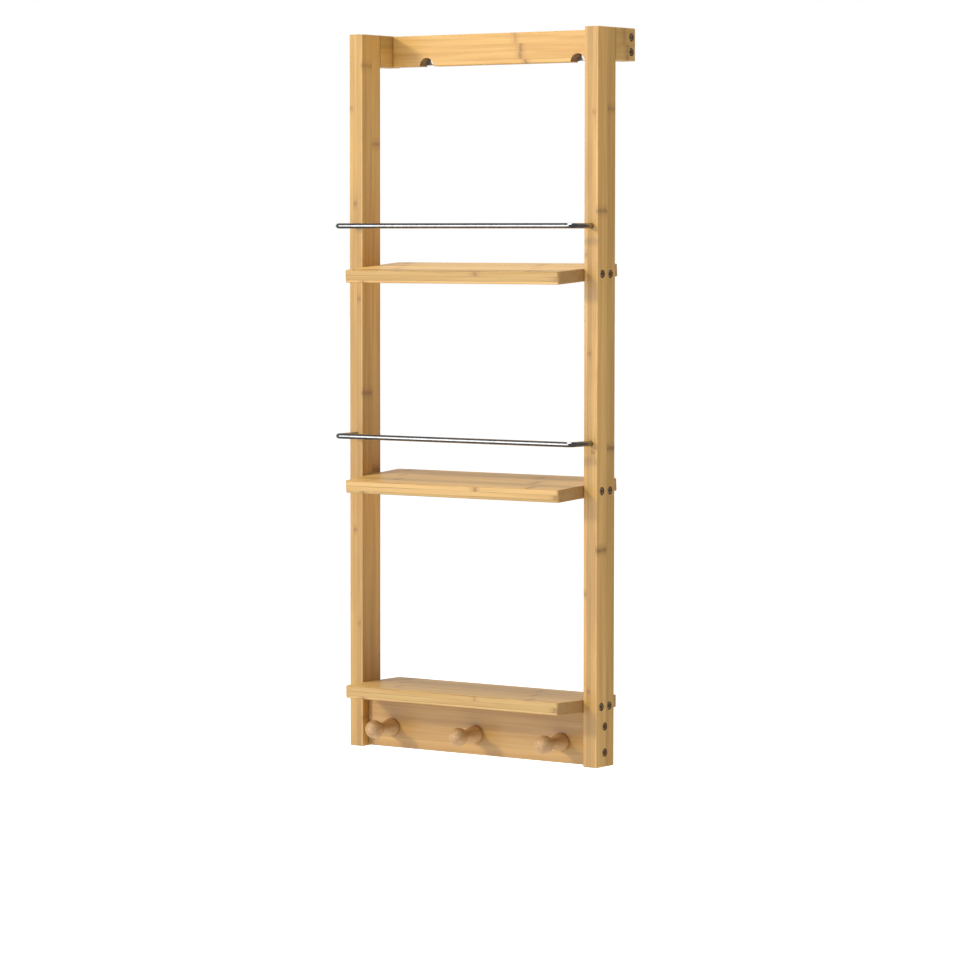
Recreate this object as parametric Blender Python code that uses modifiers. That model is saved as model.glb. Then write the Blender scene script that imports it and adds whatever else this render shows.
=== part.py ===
"""Three-tier bamboo shower caddy that hangs on a wall.

Two posts carry three shelves, a peg rail with three turned pegs, and two steel guard rails.
Short arms behind the posts' tops reach back to a crossbar, which hangs on two keyhole plates.
Metres, +Z up, front towards -Y. The origin is the centre of the crossbar's back face.
"""

import math

import bmesh
import bpy
from mathutils import Matrix, Vector

# Overall
HEIGHT = 0.743
WIDTH = 0.313
FIT_GAP = 0.0003               # clearance between pieces that touch
ARRIS = 0.001                  # rounding of the bamboo's edges

# Posts, arms and crossbar
POST_WIDTH = 0.017
POST_DEPTH = 0.031
ARM_LENGTH = 0.035             # from a post's back to the wall
ARM_HEIGHT = 0.033
BAR_HEIGHT = 0.032             # the crossbar's, at the same middle height as the arms
BAR_THICKNESS = 0.014
DOWEL_RADIUS = 0.003
DOWEL_LENGTH = 0.024
DOWEL_OFFSET = 0.008           # from an arm's middle height to each dowel

# Shelves: heights are those of the boards' middles above the posts' feet
LOWER_SHELF_HEIGHT = 0.0615
SHELF_SPACING = 0.2175
SHELF_THICKNESS = 0.013
SHELF_FRONT_REACH = 0.037      # in front of the posts
SHELF_BACK_REACH = 0.031       # behind the posts
SHELF_CORNER_INSET = 0.005     # how far each front corner draws in from the post
SHELF_CORNER_RADIUS = 0.003
SHELF_PITCH = math.radians(4.5)  # the two upper shelves tip forward by this

# Steel guard rails
ROD_DIAMETER = 0.0055
RAIL_REACH = 0.034             # from the posts' front to the rod's centre line
RAIL_LIFT = 0.048              # above the middle of its shelf
RAIL_BEND_RADIUS = 0.006
ROD_SOCKET_DEPTH = 0.012

# Peg rail and pegs
PEG_RAIL_THICKNESS = 0.012
PEG_RAIL_SETBACK = 0.0085      # behind the posts' front
PEG_RAIL_LIFT = 0.001          # above the posts' feet
PEG_HEIGHT = 0.0225            # above the posts' feet
PEG_INSET = 0.032              # from a post's inner face to the outer peg
PEG_BALL_RADIUS = 0.0095
PEG_BALL_REACH = 0.0305        # from the rail's face to the ball's centre
PEG_WAIST_RADIUS = 0.0055
PEG_BASE_RADIUS = 0.0092
PEG_BASE_THICKNESS = 0.003

# Screws into the boards' ends
SCREW_HEAD_RADIUS = 0.0038
SCREW_HEAD_HEIGHT = 0.0022
SCREW_SHANK_RADIUS = 0.002
SCREW_LENGTH = 0.040           # under the head
SCREW_DRIVE_RADIUS = 0.002
SCREW_DRIVE_DEPTH = 0.0014
COUNTERBORE_RADIUS = 0.0042
COUNTERBORE_DEPTH = 0.003
SHELF_SCREW_OFFSET = 0.0071    # before and behind the post's middle
ARM_SCREW_OFFSET = 0.0074      # above and below the crossbar's middle
PEG_RAIL_SCREW_OFFSET = 0.0132  # above and below the peg rail's middle

# Countersunk screws into the pegs and through the keyhole plates
PEG_SCREW_HEAD_RADIUS = 0.0035
PEG_SCREW_SHANK_RADIUS = 0.00175
PEG_SCREW_LENGTH = 0.025
PLATE_SCREW_HEAD_RADIUS = 0.0028
PLATE_SCREW_SHANK_RADIUS = 0.0014
PLATE_SCREW_LENGTH = 0.0095

# Keyhole plates, each let into the crossbar's back over a half-round notch
NOTCH_RADIUS = 0.0087
NOTCH_INSET = 0.044            # from a post's inner face to the notch's middle
PLATE_WIDTH = 0.034
PLATE_HEIGHT = 0.018
PLATE_THICKNESS = 0.0015
PLATE_CORNER_RADIUS = 0.004
PLATE_LIFT = 0.0015            # above the crossbar's underside
KEYHOLE_RADIUS = 0.0042
KEYHOLE_HEIGHT = 0.005         # of the round entry's centre above the plate's lower edge
SLOT_RADIUS = 0.0022
SLOT_HEIGHT = 0.0105           # of the slot's top centre above the plate's lower edge
PLATE_SCREW_HEIGHT = 0.0138    # above the plate's lower edge
PLATE_SCREW_OFFSET = 0.0125    # from the plate's middle
POCKET_WIDTH = 0.010           # room in the wood for the wall screw's head
POCKET_DEPTH = 0.006

# Where things are
TOP = ARM_HEIGHT / 2
FOOT = TOP - HEIGHT
POST_BACK = -ARM_LENGTH
POST_FRONT = POST_BACK - POST_DEPTH
POST_MIDDLE = (POST_BACK + POST_FRONT) / 2
POST_X = (WIDTH - POST_WIDTH) / 2
INNER_X = WIDTH / 2 - POST_WIDTH
BOARD_END = INNER_X - FIT_GAP  # of the crossbar, the shelves and the peg rail
SHELF_HEIGHTS = [FOOT + LOWER_SHELF_HEIGHT + step * SHELF_SPACING for step in (2, 1, 0)]
PEG_RAIL_FRONT = POST_FRONT + PEG_RAIL_SETBACK
PEG_RAIL_BACK = PEG_RAIL_FRONT + PEG_RAIL_THICKNESS
PEG_RAIL_BOTTOM = FOOT + PEG_RAIL_LIFT
PEG_RAIL_TOP = SHELF_HEIGHTS[2] - SHELF_THICKNESS / 2 - FIT_GAP
PEG_RAIL_MIDDLE = (PEG_RAIL_BOTTOM + PEG_RAIL_TOP) / 2
PLATE_BOTTOM = -BAR_HEIGHT / 2 + PLATE_LIFT
NOTCH_X = INNER_X - NOTCH_INSET
PEG_X = INNER_X - PEG_INSET

# Facets round a circle, and the modelling's own small distances
ROUND_STEPS = 12
WIDE_ROUND_STEPS = 20          # on the pegs and the notches
OVERCUT = 0.001                # how far a cutter runs past the face that it opens
WELD_DISTANCE = 0.00001

# Which way a turned piece's own +Z points
FACING = {
    "left": (0.0, -math.pi / 2, 0.0),
    "right": (0.0, math.pi / 2, 0.0),
    "front": (math.pi / 2, 0.0, 0.0),
    "back": (-math.pi / 2, 0.0, 0.0),
}
SIDES = (("left", -1), ("right", 1))

for leftover in list(bpy.data.objects):
    bpy.data.objects.remove(leftover, do_unlink=True)

caddy = bpy.data.collections.new("shower_caddy")
cutters = bpy.data.collections.new("cutters")
bpy.context.scene.collection.children.link(caddy)
bpy.context.scene.collection.children.link(cutters)


def make_material(name, colour, roughness, metallic=0.0):
    material = bpy.data.materials.new(name)
    material.use_nodes = True
    shader = material.node_tree.nodes["Principled BSDF"]
    shader.inputs["Base Color"].default_value = (*colour, 1.0)
    shader.inputs["Roughness"].default_value = roughness
    shader.inputs["Metallic"].default_value = metallic
    return material


POST_BAMBOO = make_material("post_bamboo", (0.62, 0.42, 0.20), 0.5)
SHELF_BAMBOO = make_material("shelf_bamboo", (0.66, 0.45, 0.23), 0.5)
PEG_WOOD = make_material("peg_wood", (0.60, 0.38, 0.19), 0.55)
DOWEL_WOOD = make_material("dowel_wood", (0.70, 0.52, 0.32), 0.7)
POLISHED_STEEL = make_material("polished_steel", (0.62, 0.62, 0.64), 0.15, 1.0)
SCREW_STEEL = make_material("screw_steel", (0.16, 0.12, 0.08), 0.4, 1.0)
PLATE_STEEL = make_material("plate_steel", (0.45, 0.45, 0.46), 0.35, 1.0)


def add_object(name, mesh, collection=caddy, material=None):
    obj = bpy.data.objects.new(name, mesh)
    collection.objects.link(obj)
    if material:
        mesh.materials.append(material)
    return obj


def hide_cutter(obj):
    obj.hide_render = True
    obj.display_type = "WIRE"
    return obj


def cut(obj, *tools):
    for tool in tools:
        modifier = obj.modifiers.new("cut_" + tool.name, "BOOLEAN")
        modifier.operation = "DIFFERENCE"
        modifier.object = tool


def box_mesh(name, size):
    mesh = bpy.data.meshes.new(name)
    shape = bmesh.new()
    bmesh.ops.create_cube(shape, size=1.0, matrix=Matrix.Diagonal((*size, 1.0)))
    shape.to_mesh(mesh)
    shape.free()
    return mesh


def round_edges(obj, radius, segments=2, plain_side=None):
    """Rounds the edges, apart from those round the side that faces along plain_side."""
    modifier = obj.modifiers.new("arris", "BEVEL")
    modifier.width = radius
    modifier.segments = segments
    modifier.limit_method = "ANGLE"
    if plain_side:
        mesh = obj.data
        reach = max(vertex.co.dot(plain_side) for vertex in mesh.vertices)
        weights = mesh.attributes.new("bevel_weight_edge", "FLOAT", "EDGE")
        for edge in mesh.edges:
            ends = [mesh.vertices[index].co.dot(plain_side) for index in edge.vertices]
            weights.data[edge.index].value = 0.0 if min(ends) > reach - radius else 1.0
        modifier.limit_method = "WEIGHT"


def board(name, low, high, material, plain_side=None):
    """A planed bamboo block between two corners."""
    low, high = Vector(low), Vector(high)
    obj = add_object(name, box_mesh(name, high - low), material=material)
    obj.location = (low + high) / 2
    round_edges(obj, ARRIS, plain_side=plain_side)
    return obj


def block_cutter(name, low, high):
    low, high = Vector(low), Vector(high)
    obj = hide_cutter(add_object(name, box_mesh(name, high - low), cutters))
    obj.location = (low + high) / 2
    return obj


def turned(name, profile, location, facing, steps=ROUND_STEPS, collection=caddy, material=None):
    """Turns a profile of (radius, height) points, listed from the top down, about its own Z."""
    mesh = bpy.data.meshes.new(name)
    edges = [(index, index + 1) for index in range(len(profile) - 1)]
    mesh.from_pydata([(radius, 0.0, height) for radius, height in profile], edges, [])
    obj = add_object(name, mesh, collection, material)
    obj.location = location
    obj.rotation_euler = FACING[facing]
    modifier = obj.modifiers.new("turning", "SCREW")
    modifier.steps = steps
    modifier.render_steps = steps
    modifier.use_merge_vertices = True
    modifier.merge_threshold = WELD_DISTANCE
    return obj


def rod_profile(radius, top, bottom):
    return [(0, top), (radius, top), (radius, bottom), (0, bottom)]


def bore(name, radius, depth, location, facing, steps=ROUND_STEPS):
    """A plain drill: it opens at location, and its depth runs against facing."""
    profile = rod_profile(radius, OVERCUT, -depth)
    return hide_cutter(turned(name, profile, location, facing, steps, cutters))


def mesh_from_curve(curve_object, material):
    """Swaps a curve for its welded mesh."""
    bpy.context.view_layer.update()
    graph = bpy.context.evaluated_depsgraph_get()
    name = curve_object.name
    mesh = bpy.data.meshes.new_from_object(curve_object.evaluated_get(graph))
    shape = bmesh.new()
    shape.from_mesh(mesh)
    bmesh.ops.remove_doubles(shape, verts=shape.verts, dist=WELD_DISTANCE)
    flat = math.radians(1)
    bmesh.ops.dissolve_limit(shape, angle_limit=flat, verts=shape.verts, edges=shape.edges)
    shape.to_mesh(mesh)
    shape.free()
    place = curve_object.matrix_world.copy()
    bpy.data.objects.remove(curve_object, do_unlink=True)
    obj = add_object(name, mesh, material=material)
    obj.matrix_world = place
    return obj


def arc(centre, radius, start, end, steps):
    """Points on an arc in a plane, from one angle to another in degrees."""
    points = []
    for step in range(steps + 1):
        angle = math.radians(start + (end - start) * step / steps)
        points.append((centre[0] + radius * math.cos(angle), centre[1] + radius * math.sin(angle)))
    return points


def rounded_outline(corners, radius, steps=3):
    """Rounds each corner of a closed outline with an arc that touches both its edges."""
    points = []
    for index, corner in enumerate(corners):
        here = Vector(corner)
        before = (Vector(corners[index - 1]) - here).normalized()
        after = (Vector(corners[(index + 1) % len(corners)]) - here).normalized()
        half_angle = before.angle(after) / 2
        centre = here + (before + after).normalized() * radius / math.sin(half_angle)
        start = here + before * radius / math.tan(half_angle) - centre
        end = here + after * radius / math.tan(half_angle) - centre
        turn = start.angle_signed(end)
        for step in range(steps + 1):
            points.append(centre + Matrix.Rotation(-turn * step / steps, 2) @ start)
    return points


def sheet(name, outline, thickness, material):
    """A flat piece of one thickness, cut to an outline in its own XY plane."""
    curve = bpy.data.curves.new(name, "CURVE")
    curve.dimensions = "2D"
    curve.fill_mode = "BOTH"
    curve.extrude = thickness / 2
    spline = curve.splines.new("POLY")
    spline.points.add(len(outline) - 1)
    for point, (x, y) in zip(spline.points, outline):
        point.co = (x, y, 0.0, 1.0)
    spline.use_cyclic_u = True
    obj = bpy.data.objects.new(name, curve)
    caddy.objects.link(obj)
    return mesh_from_curve(obj, material)


def bent_rod(name, path, diameter, material):
    """A round rod along a path of points."""
    curve = bpy.data.curves.new(name, "CURVE")
    curve.dimensions = "3D"
    curve.bevel_depth = diameter / 2
    curve.bevel_resolution = 2
    curve.use_fill_caps = True
    spline = curve.splines.new("POLY")
    spline.points.add(len(path) - 1)
    for point, place in zip(spline.points, path):
        point.co = (*place, 1.0)
    obj = bpy.data.objects.new(name, curve)
    caddy.objects.link(obj)
    return mesh_from_curve(obj, material)


# Screws

def connector_screw(name, location, facing):
    """A flat-headed screw. Its location is the middle of the head's underside."""
    head_chamfer = 0.0004
    tip_height = 0.004
    profile = [
        (0, SCREW_HEAD_HEIGHT - SCREW_DRIVE_DEPTH),
        (SCREW_DRIVE_RADIUS, SCREW_HEAD_HEIGHT - SCREW_DRIVE_DEPTH),
        (SCREW_DRIVE_RADIUS, SCREW_HEAD_HEIGHT),
        (SCREW_HEAD_RADIUS - head_chamfer, SCREW_HEAD_HEIGHT),
        (SCREW_HEAD_RADIUS, SCREW_HEAD_HEIGHT - head_chamfer),
        (SCREW_HEAD_RADIUS, 0),
        (SCREW_SHANK_RADIUS, 0),
        (SCREW_SHANK_RADIUS, -SCREW_LENGTH + tip_height),
        (0, -SCREW_LENGTH),
    ]
    return turned(name, profile, location, facing, material=SCREW_STEEL)


def screw_hole(name, location, facing):
    """The counterbore and the drilled hole round a connector_screw at the same location."""
    mouth = COUNTERBORE_DEPTH + OVERCUT
    drill_radius = SCREW_SHANK_RADIUS + FIT_GAP
    profile = [
        (0, mouth),
        (COUNTERBORE_RADIUS, mouth),
        (COUNTERBORE_RADIUS, -FIT_GAP),
        (drill_radius, -FIT_GAP),
        (drill_radius, -SCREW_LENGTH - FIT_GAP),
        (0, -SCREW_LENGTH - FIT_GAP),
    ]
    return hide_cutter(turned(name, profile, location, facing, collection=cutters))


def side_screw(name, side, sign, y, z):
    """A screw through a post or arm from its outer face, and the cutter for its hole."""
    location = (sign * (WIDTH / 2 - COUNTERBORE_DEPTH), y, z)
    connector_screw(name, location, side)
    return screw_hole(name + "_hole", location, side)


def countersunk_screw(name, head_radius, shank_radius, length, location, facing):
    """A countersunk screw and its hole's cutter. Its location is the middle of its head's face."""
    tip_height = 2 * shank_radius
    drive_radius = shank_radius * 0.8
    drive_depth = shank_radius * 0.7
    cone = head_radius - shank_radius
    profile = [
        (0, -drive_depth),
        (drive_radius, -drive_depth),
        (drive_radius, 0),
        (head_radius, 0),
        (shank_radius, -cone),
        (shank_radius, -length + tip_height),
        (0, -length),
    ]
    turned(name, profile, location, facing, material=SCREW_STEEL)
    wide = head_radius + FIT_GAP
    drill = shank_radius + FIT_GAP
    hole = [
        (0, OVERCUT),
        (wide, OVERCUT),
        (wide, 0),
        (drill, -cone),
        (drill, -length - FIT_GAP),
        (0, -length - FIT_GAP),
    ]
    return hide_cutter(turned(name + "_hole", hole, location, facing, collection=cutters))


# Posts and arms, with two dowels across each joint

posts = {}
arms = {}
for side, sign in SIDES:
    inner, outer = sorted((sign * INNER_X, sign * WIDTH / 2))
    low = (inner, POST_FRONT, FOOT)
    high = (outer, POST_BACK, TOP)
    posts[side] = board(side + "_post", low, high, POST_BAMBOO)
    low = (inner, POST_BACK + FIT_GAP, TOP - ARM_HEIGHT)
    high = (outer, 0.0, TOP)
    arms[side] = board(side + "_arm", low, high, POST_BAMBOO, plain_side=Vector((0, -1, 0)))
    for place, direction in (("upper", 1), ("lower", -1)):
        name = f"{side}_{place}_dowel"
        middle = (sign * POST_X, POST_BACK, direction * DOWEL_OFFSET)
        half = DOWEL_LENGTH / 2
        turned(name, rod_profile(DOWEL_RADIUS, half, -half), middle, "back", material=DOWEL_WOOD)
        loose = rod_profile(DOWEL_RADIUS + FIT_GAP, half + FIT_GAP, -half - FIT_GAP)
        hole = hide_cutter(turned(name + "_hole", loose, middle, "back", collection=cutters))
        cut(posts[side], hole)
        cut(arms[side], hole)

# Crossbar, held by two screws through each arm

crossbar = board(
    "top_crossbar",
    (-BOARD_END, -BAR_THICKNESS, -BAR_HEIGHT / 2),
    (BOARD_END, 0.0, BAR_HEIGHT / 2),
    POST_BAMBOO,
)
for side, sign in SIDES:
    for place, direction in (("upper", 1), ("lower", -1)):
        hole = side_screw(
            f"{side}_arm_{place}_screw", side, sign, -BAR_THICKNESS / 2,
            direction * ARM_SCREW_OFFSET,
        )
        cut(arms[side], hole)
        cut(crossbar, hole)


# Keyhole plates, and the notch, recess and pocket that each needs in the crossbar

def keyhole_plate(name, x):
    """A steel plate with rounded ends and a keyhole. It lies flush in the crossbar's back."""
    half_width = PLATE_WIDTH / 2
    corners = [
        (half_width, 0),
        (half_width, PLATE_HEIGHT),
        (-half_width, PLATE_HEIGHT),
        (-half_width, 0),
    ]
    outline = rounded_outline(corners, PLATE_CORNER_RADIUS)
    plate = sheet(name, outline, PLATE_THICKNESS, PLATE_STEEL)
    plate.rotation_euler = (math.pi / 2, 0, 0)
    plate.location = (x, -PLATE_THICKNESS / 2, PLATE_BOTTOM)
    through = PLATE_THICKNESS + 2 * OVERCUT
    round_entry = bore(
        name + "_entry", KEYHOLE_RADIUS, through,
        (x, OVERCUT, PLATE_BOTTOM + KEYHOLE_HEIGHT), "back",
    )
    slot_end = bore(
        name + "_slot_end", SLOT_RADIUS, through,
        (x, OVERCUT, PLATE_BOTTOM + SLOT_HEIGHT), "back",
    )
    slot = block_cutter(
        name + "_slot",
        (x - SLOT_RADIUS, -through, PLATE_BOTTOM + KEYHOLE_HEIGHT),
        (x + SLOT_RADIUS, OVERCUT, PLATE_BOTTOM + SLOT_HEIGHT),
    )
    cut(plate, round_entry, slot_end, slot)
    return plate


for side, sign in SIDES:
    x = sign * NOTCH_X
    name = side + "_keyhole_plate"
    plate = keyhole_plate(name, x)
    notch = bore(
        side + "_notch", NOTCH_RADIUS, BAR_THICKNESS + 2 * OVERCUT,
        (x, OVERCUT, -BAR_HEIGHT / 2), "back", WIDE_ROUND_STEPS,
    )
    recess = block_cutter(
        side + "_plate_recess",
        (x - PLATE_WIDTH / 2 - FIT_GAP, -PLATE_THICKNESS - FIT_GAP, PLATE_BOTTOM - FIT_GAP),
        (x + PLATE_WIDTH / 2 + FIT_GAP, OVERCUT, PLATE_BOTTOM + PLATE_HEIGHT + FIT_GAP),
    )
    pocket_top = PLATE_BOTTOM + SLOT_HEIGHT + POCKET_WIDTH / 2
    pocket = block_cutter(
        side + "_head_pocket",
        (x - POCKET_WIDTH / 2, -PLATE_THICKNESS - POCKET_DEPTH, -BAR_HEIGHT / 2),
        (x + POCKET_WIDTH / 2, -PLATE_THICKNESS, pocket_top),
    )
    cut(crossbar, notch, recess, pocket)
    for label, direction in (("inner", -1), ("outer", 1)):
        hole = countersunk_screw(
            f"{side}_plate_{label}_screw", PLATE_SCREW_HEAD_RADIUS, PLATE_SCREW_SHANK_RADIUS,
            PLATE_SCREW_LENGTH,
            (x + sign * direction * PLATE_SCREW_OFFSET, 0.0, PLATE_BOTTOM + PLATE_SCREW_HEIGHT),
            "back",
        )
        cut(plate, hole)
        cut(crossbar, hole)

# Shelves. Each swings with its pitch about the middle of the posts' depth.

front_edge = -POST_DEPTH / 2 - SHELF_FRONT_REACH
back_edge = POST_DEPTH / 2 + SHELF_BACK_REACH
shelf_corners = [
    (-BOARD_END, back_edge),
    (-BOARD_END, -POST_DEPTH / 2),
    (-BOARD_END + SHELF_CORNER_INSET, front_edge),
    (BOARD_END - SHELF_CORNER_INSET, front_edge),
    (BOARD_END, -POST_DEPTH / 2),
    (BOARD_END, back_edge),
]
SHELVES = zip(("upper", "middle", "lower"), SHELF_HEIGHTS, (SHELF_PITCH, SHELF_PITCH, 0.0))
for level, height, pitch in SHELVES:
    outline = rounded_outline(shelf_corners, SHELF_CORNER_RADIUS)
    shelf = sheet(level + "_shelf", outline, SHELF_THICKNESS, SHELF_BAMBOO)
    shelf.location = (0.0, POST_MIDDLE, height)
    shelf.rotation_euler = (pitch, 0.0, 0.0)
    round_edges(shelf, ARRIS)
    for side, sign in SIDES:
        for place, direction in (("front", -1), ("back", 1)):
            hole = side_screw(
                f"{level}_shelf_{side}_{place}_screw", side, sign,
                POST_MIDDLE + direction * SHELF_SCREW_OFFSET, height,
            )
            cut(posts[side], hole)
            cut(shelf, hole)

# Guard rails: each is one rod with its ends in sockets in the posts' front faces

rod_y = POST_FRONT - RAIL_REACH
for level, height in zip(("upper", "middle"), SHELF_HEIGHTS):
    z = height + RAIL_LIFT
    bend_x = POST_X - RAIL_BEND_RADIUS
    bend_y = rod_y + RAIL_BEND_RADIUS
    plan = [(-POST_X, POST_FRONT + ROD_SOCKET_DEPTH)]
    plan += arc((-bend_x, bend_y), RAIL_BEND_RADIUS, 180, 270, 5)
    plan += arc((bend_x, bend_y), RAIL_BEND_RADIUS, 270, 360, 5)
    plan.append((POST_X, POST_FRONT + ROD_SOCKET_DEPTH))
    bent_rod(level + "_rail", [(x, y, z) for x, y in plan], ROD_DIAMETER, POLISHED_STEEL)
    for side, sign in SIDES:
        socket = bore(
            f"{level}_{side}_rod_socket", ROD_DIAMETER / 2 + FIT_GAP,
            ROD_SOCKET_DEPTH + FIT_GAP, (sign * POST_X, POST_FRONT, z), "front",
        )
        cut(posts[side], socket)

# Peg rail under the lower shelf, held by two screws through each post

peg_rail = board(
    "peg_rail",
    (-BOARD_END, PEG_RAIL_FRONT, PEG_RAIL_BOTTOM),
    (BOARD_END, PEG_RAIL_BACK, PEG_RAIL_TOP),
    POST_BAMBOO,
)
for side, sign in SIDES:
    for place, direction in (("upper", 1), ("lower", -1)):
        hole = side_screw(
            f"peg_rail_{side}_{place}_screw", side, sign,
            (PEG_RAIL_FRONT + PEG_RAIL_BACK) / 2,
            PEG_RAIL_MIDDLE + direction * PEG_RAIL_SCREW_OFFSET,
        )
        cut(posts[side], hole)
        cut(peg_rail, hole)


# Pegs: a ball on a waisted stem with a flared base, screwed on from the back of the rail

def peg_profile():
    """(radius, height) points from the ball's crown to the base, with the base at height 0."""
    ball_steps = 7
    neck_angle = math.pi - math.asin(PEG_WAIST_RADIUS / PEG_BALL_RADIUS)
    points = [(0.0, PEG_BALL_REACH + PEG_BALL_RADIUS)]
    for step in range(1, ball_steps + 1):
        angle = neck_angle * step / ball_steps
        height = PEG_BALL_REACH + PEG_BALL_RADIUS * math.cos(angle)
        points.append((PEG_BALL_RADIUS * math.sin(angle), height))
    neck_length = 0.001
    stem_top = points[-1][1] - neck_length
    flare_steps = 5
    for step in range(flare_steps + 1):
        part = step / flare_steps
        height = stem_top + (PEG_BASE_THICKNESS - stem_top) * part
        flare = (1 - math.cos(math.pi / 2 * part)) * (PEG_BASE_RADIUS - PEG_WAIST_RADIUS)
        points.append((PEG_WAIST_RADIUS + flare, height))
    points.append((PEG_BASE_RADIUS, 0.0))
    points.append((0.0, 0.0))
    return points


for label, x in (("left", -PEG_X), ("middle", 0.0), ("right", PEG_X)):
    base = (x, PEG_RAIL_FRONT - FIT_GAP, FOOT + PEG_HEIGHT)
    profile = peg_profile()
    peg = turned(label + "_peg", profile, base, "front", WIDE_ROUND_STEPS, material=PEG_WOOD)
    hole = countersunk_screw(
        label + "_peg_screw", PEG_SCREW_HEAD_RADIUS, PEG_SCREW_SHANK_RADIUS, PEG_SCREW_LENGTH,
        (x, PEG_RAIL_BACK, FOOT + PEG_HEIGHT), "back",
    )
    cut(peg, hole)
    cut(peg_rail, hole)

# Round pieces are shaded smooth
bpy.context.view_layer.update()
for obj in caddy.objects:
    obj.data.shade_smooth()
    obj.data.set_sharp_from_angle(angle=math.radians(30))
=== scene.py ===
"""The finished look of a wall-hung bamboo shower caddy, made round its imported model.

Metres, +Z up, front towards -Y. The caddy hangs with the crossbar's back at y = 0.
"""

import math

import bmesh
import bpy
from mathutils import Matrix, Vector


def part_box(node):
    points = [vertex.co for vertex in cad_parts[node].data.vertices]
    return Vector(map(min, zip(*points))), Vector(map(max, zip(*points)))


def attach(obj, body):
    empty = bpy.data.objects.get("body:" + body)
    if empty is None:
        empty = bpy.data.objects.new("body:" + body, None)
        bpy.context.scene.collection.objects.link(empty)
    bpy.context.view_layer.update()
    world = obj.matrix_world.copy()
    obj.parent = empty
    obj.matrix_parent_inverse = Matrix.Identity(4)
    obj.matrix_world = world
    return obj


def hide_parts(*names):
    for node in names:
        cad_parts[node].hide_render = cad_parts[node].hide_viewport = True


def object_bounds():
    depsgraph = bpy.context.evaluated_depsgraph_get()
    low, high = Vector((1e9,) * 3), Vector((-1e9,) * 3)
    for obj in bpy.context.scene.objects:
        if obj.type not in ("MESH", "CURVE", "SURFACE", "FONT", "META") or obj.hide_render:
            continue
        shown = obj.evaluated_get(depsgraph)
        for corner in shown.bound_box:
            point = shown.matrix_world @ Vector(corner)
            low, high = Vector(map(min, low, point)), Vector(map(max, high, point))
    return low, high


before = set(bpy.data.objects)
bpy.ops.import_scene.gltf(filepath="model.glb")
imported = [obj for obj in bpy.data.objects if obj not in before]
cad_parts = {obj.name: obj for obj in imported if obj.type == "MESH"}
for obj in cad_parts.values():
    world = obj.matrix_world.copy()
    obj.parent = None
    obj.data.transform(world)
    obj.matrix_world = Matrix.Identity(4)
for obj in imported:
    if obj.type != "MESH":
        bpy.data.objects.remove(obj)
cad_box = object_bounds()
scene = bpy.context.scene


# Camera
# A long lens some four metres off, on the caddy's right and a little above its middle, so that
# the uprights stay upright in view.

CAMERA_PLACE = (2.400, -3.375, -0.1915)
CAMERA_TURN = math.radians(35.751)     # to the left of straight at the wall
CAMERA_DIP = math.radians(3.58)        # below the level
CAMERA_LEAN = math.radians(0.05)
CAMERA_LENS = 148.3

camera_data = bpy.data.cameras.new("camera")
camera_data.lens = CAMERA_LENS
camera = bpy.data.objects.new("camera", camera_data)
scene.collection.objects.link(camera)
camera.matrix_world = (
    Matrix.Translation(CAMERA_PLACE)
    @ Matrix.Rotation(CAMERA_TURN, 4, "Z")
    @ Matrix.Rotation(math.pi / 2 - CAMERA_DIP, 4, "X")
    @ Matrix.Rotation(CAMERA_LEAN, 4, "Z")
)
scene.camera = camera


# Studio
# A pale floor well below the caddy and white all round, with one lamp in front on the left and
# a wide one overhead. A wide card in front shows only as sheen on the finishes. The floor itself
# casts no light on the caddy: the room's light from below stands in for it.

FLOOR_DROP = 0.35                      # from the posts' feet to the floor
FLOOR_HALF = 30.0
FLOOR_GLOW = 0.62
LAMP_DISTANCE = 4.0
KEY_SIDE = math.radians(38)            # to the left of straight in front
KEY_RISE = math.radians(22)
KEY_SIZE = 0.5
KEY_POWER = 94.0
CARD_SIDE = math.radians(16)
CARD_RISE = math.radians(5)
CARD_WIDTH = 4.6
CARD_HEIGHT = 3.4
CARD_POWER = 165.0
TOP_LAMP_RISE = math.radians(80)
TOP_LAMP_SIZE = 2.4
TOP_LAMP_POWER = 155.0
ROOM_DARKEST = 0.10                    # behind the camera
ROOM_BRIGHTEST = 0.66                  # behind the caddy
ROOM_BELOW = 1.62                      # what the pale floor throws back
SHEEN_DARKEST = 0.16                   # what the finishes mirror of the room's darker parts


def put(tree, kind, inputs=None, **settings):
    """Adds a node. Its inputs, by name or number, take values or other nodes' outputs."""
    node = tree.nodes.new(kind)
    for label, value in settings.items():
        setattr(node, label, value)
    for label, value in (inputs or {}).items():
        if isinstance(value, bpy.types.NodeSocket):
            tree.links.new(value, node.inputs[label])
        else:
            node.inputs[label].default_value = value
    return node


def reckon(tree, operation, *values):
    """One step of arithmetic on numbers or outputs."""
    node = put(tree, "ShaderNodeMath", dict(enumerate(values)), operation=operation)
    return node.outputs[0]


def ease(tree, value, low, high, to_low=0.0, to_high=1.0):
    """Carries a value smoothly from one range to another, and holds it there."""
    inputs = {
        "Value": value, "From Min": low, "From Max": high, "To Min": to_low, "To Max": to_high,
    }
    node = put(tree, "ShaderNodeMapRange", inputs, interpolation_type="SMOOTHSTEP")
    return node.outputs["Result"]


def mingle(tree, share, first, second, mode="MIX"):
    """Mixes two colours."""
    inputs = {"Factor": share}
    node = put(tree, "ShaderNodeMix", inputs, data_type="RGBA", blend_type=mode)
    for label, value in (("A", first), ("B", second)):
        socket = next(s for s in node.inputs if s.name == label and s.type == "RGBA")
        if isinstance(value, bpy.types.NodeSocket):
            tree.links.new(value, socket)
        else:
            socket.default_value = value
    return next(s for s in node.outputs if s.type == "RGBA")


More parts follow.
